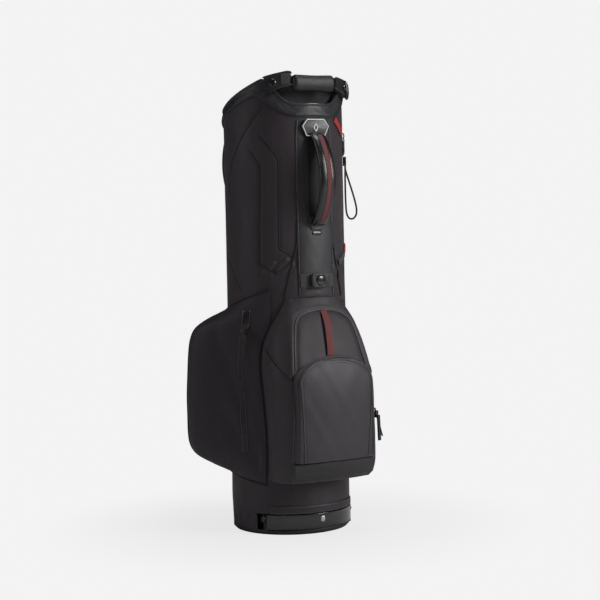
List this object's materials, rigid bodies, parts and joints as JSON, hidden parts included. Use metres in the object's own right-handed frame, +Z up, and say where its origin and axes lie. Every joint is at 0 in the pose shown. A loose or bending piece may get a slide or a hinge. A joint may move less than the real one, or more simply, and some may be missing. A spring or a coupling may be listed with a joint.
{
  "type": "golf stand bag",
  "caption": "Upright golf stand bag with a moulded divider in a leather-trimmed mouth, rounded pockets, a carry handle and two fold-out legs worked by its foot plate.",
  "frame": {"origin": "centre of the underside of the foot plate's sole, on the floor", "axes": "+Z up along the bag, -Y towards the spine and the ball pocket, +X towards the shoulder straps, +Y towards the legs"},
  "size_m": [0.3332, 0.3314, 0.8859],
  "materials": {
    "nylon": "matt nylon",
    "leather": "satin grained leather",
    "handle_leather": "smooth black leather",
    "red_webbing": "woven",
    "black_webbing": "woven",
    "lining": "matt woven lining",
    "black_plastic": "moulded, satin",
    "gloss_plastic": "moulded, glossy",
    "rubber": "matt",
    "plate": "carbon look with a silver outline",
    "badge": "bright",
    "leg_tube": "black anodised, satin",
    "steel": "plated",
    "steel_black": "black, satin",
    "stay_rod": "glass-fibre rod"
  },
  "bodies": {
    "bag": {"accessory_pocket": "nylon", "ball_pocket": "nylon", "bar_bracket_left": "black_plastic", "bar_bracket_right": "black_plastic", "base_badge": "badge", "body_shell": "nylon", "bottom_tray": "black_plastic", "buckle_band": "black_webbing", "buckle_body": "black_plastic", "carry_handle": "handle_leather", "clothes_pocket": "nylon", "cord_clip": "black_plastic", "cuff_apron": "leather", "cuff_frame": "black_plastic", "divider_cloth": "lining", "divider_grid": "black_plastic", "grab_bar": "leather", "handle_anchor": "handle_leather", "handle_plate": "plate", "heel_cup": "gloss_plastic", "hinge_pin_left": "steel", "hinge_pin_right": "steel", "leg_housing": "black_plastic", "leg_spring_left": "steel", "leg_spring_right": "steel", "loop_cord": "black_webbing", "lower_tab": "red_webbing", "lower_trim": "leather", "lower_webbing": "black_webbing", "pivot_pin_left": "steel", "pivot_pin_right": "steel", "pocket_hem": "leather", "shoulder_strap_front": "nylon", "shoulder_strap_rear": "nylon", "side_pocket": "nylon", "skirt": "nylon", "spine_panel": "nylon", "stay_front_left": "stay_rod", "stay_front_right": "stay_rod", "stay_rear_left": "stay_rod", "stay_rear_right": "stay_rod", "strap_flap": "nylon", "strap_tab": "red_webbing", "stripe_loop": "red_webbing"},
    "foot_plate": {"foot_plate": "black_plastic", "foot_sole": "rubber"},
    "leg_left": {"leg_left": "leg_tube", "leg_foot_left": "rubber"},
    "leg_right": {"leg_right": "leg_tube", "leg_foot_right": "rubber"},
    "rod_left": {"actuator_rod_left": "steel_black"},
    "rod_right": {"actuator_rod_right": "steel_black"},
    "ball_slider": {"ball_zip_slider": "black_plastic"},
    "ball_pull": {"ball_zip_pull": "rubber"},
    "accessory_slider": {"accessory_zip_slider": "black_plastic"},
    "accessory_pull": {"accessory_zip_pull": "rubber"},
    "clothes_slider": {"clothes_zip_slider": "black_plastic"},
    "clothes_pull": {"clothes_zip_pull": "rubber"},
    "button": {"buckle_button": "gloss_plastic"},
    "ring": {"strap_ring": "steel"}
  },
  "joints": [
    {"name": "foot_plate_hinge", "type": "hinge", "parent": "bag", "child": "foot_plate", "pos_m": [0, -0.058, 0.0305], "axis": [1, 0, 0], "range_deg": [0, 20], "stiffness_Nm_per_rad": 2, "springref_deg": -85.94, "deforming": ["skirt"]},
    {"name": "leg_left_hinge", "type": "hinge", "parent": "bag", "child": "leg_left", "pos_m": [-0.045, 0.133, 0.7325], "axis": [0.891, 0.454, 0], "range_deg": [0, 30.5]},
    {"name": "leg_right_hinge", "type": "hinge", "parent": "bag", "child": "leg_right", "pos_m": [0.045, 0.133, 0.7325], "axis": [0.891, -0.454, 0], "range_deg": [0, 30.5]},
    {"name": "rod_left_hinge", "type": "hinge", "parent": "foot_plate", "child": "rod_left", "pos_m": [-0.034, 0.124, 0.012], "axis": [-0.9717, -0.2362, 0.0049], "range_deg": [0, 38.8]},
    {"name": "rod_right_hinge", "type": "hinge", "parent": "foot_plate", "child": "rod_right", "pos_m": [0.034, 0.124, 0.012], "axis": [-0.9717, 0.2362, -0.0049], "range_deg": [0, 38.8]},
    {"name": "ball_slider_slide", "type": "slide", "parent": "bag", "child": "ball_slider", "axis": [0.0104, 0.012, 0.9999], "range_m": [0, 0.03]},
    {"name": "ball_pull_hinge", "type": "hinge", "parent": "ball_slider", "child": "ball_pull", "pos_m": [0.11221, -0.13415, 0.234], "axis": [-0.5291, -0.8486, 0], "range_deg": [0, 80]},
    {"name": "accessory_slider_slide", "type": "slide", "parent": "bag", "child": "accessory_slider", "axis": [0, 0, 1], "range_m": [0, 0.03]},
    {"name": "accessory_pull_hinge", "type": "hinge", "parent": "accessory_slider", "child": "accessory_pull", "pos_m": [0.09587, -0.17077, 0.225], "axis": [-0.9062, -0.4229, 0], "range_deg": [0, 80]},
    {"name": "clothes_slider_slide", "type": "slide", "parent": "bag", "child": "clothes_slider", "axis": [0, 0, 1], "range_m": [-0.05, 0]},
    {"name": "clothes_pull_hinge", "type": "hinge", "parent": "clothes_slider", "child": "clothes_pull", "pos_m": [-0.12758, -0.05506, 0.38576], "axis": [-0.515, 0.8572, 0], "range_deg": [0, 80]},
    {"name": "button_slide", "type": "slide", "parent": "bag", "child": "button", "axis": [0, 1, 0], "range_m": [0, 0.002], "stiffness_N_per_m": 900, "springref_m": -0.001},
    {"name": "ring_hinge", "type": "hinge", "parent": "bag", "child": "ring", "pos_m": [0.08661, -0.08219, 0.7652], "axis": [-0.6884, -0.7254, 0], "range_deg": [0, 50]}
  ],
  "couplings": [
    {"joint": "leg_left_hinge", "follows": "foot_plate_hinge", "ratio": 1.5},
    {"joint": "leg_right_hinge", "follows": "foot_plate_hinge", "ratio": 1.5},
    {"joint": "rod_left_hinge", "follows": "foot_plate_hinge", "ratio": 1.923},
    {"joint": "rod_right_hinge", "follows": "foot_plate_hinge", "ratio": 1.923}
  ]
}
